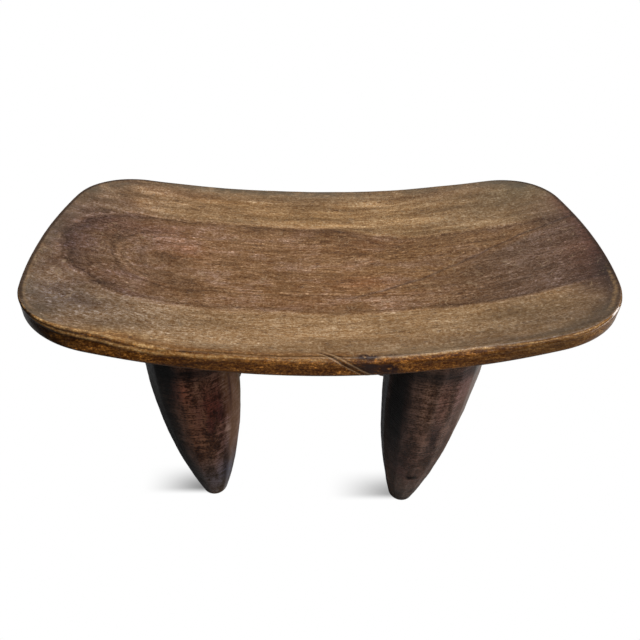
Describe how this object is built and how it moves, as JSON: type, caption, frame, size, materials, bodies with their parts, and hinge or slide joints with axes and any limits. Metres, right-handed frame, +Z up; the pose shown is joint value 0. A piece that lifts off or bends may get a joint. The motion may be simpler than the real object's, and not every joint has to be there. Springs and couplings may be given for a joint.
{
  "type": "carved wooden stool",
  "caption": "Low carved bench stool with an upswept, dished oblong seat on stout tapering legs with blunt feet.",
  "frame": {"origin": "on the floor under the middle of the seat", "axes": "+X along the seat to its right end, +Y to the back, +Z up"},
  "size_m": [0.61, 0.33, 0.3212],
  "materials": {
    "seat_wood": "worn satin",
    "leg_wood": "dark polished patina"
  },
  "bodies": {
    "root": {"seat": "seat_wood", "front_left_leg": "leg_wood", "front_right_leg": "leg_wood", "rear_left_leg": "leg_wood", "rear_right_leg": "leg_wood"}
  },
  "joints": []
}
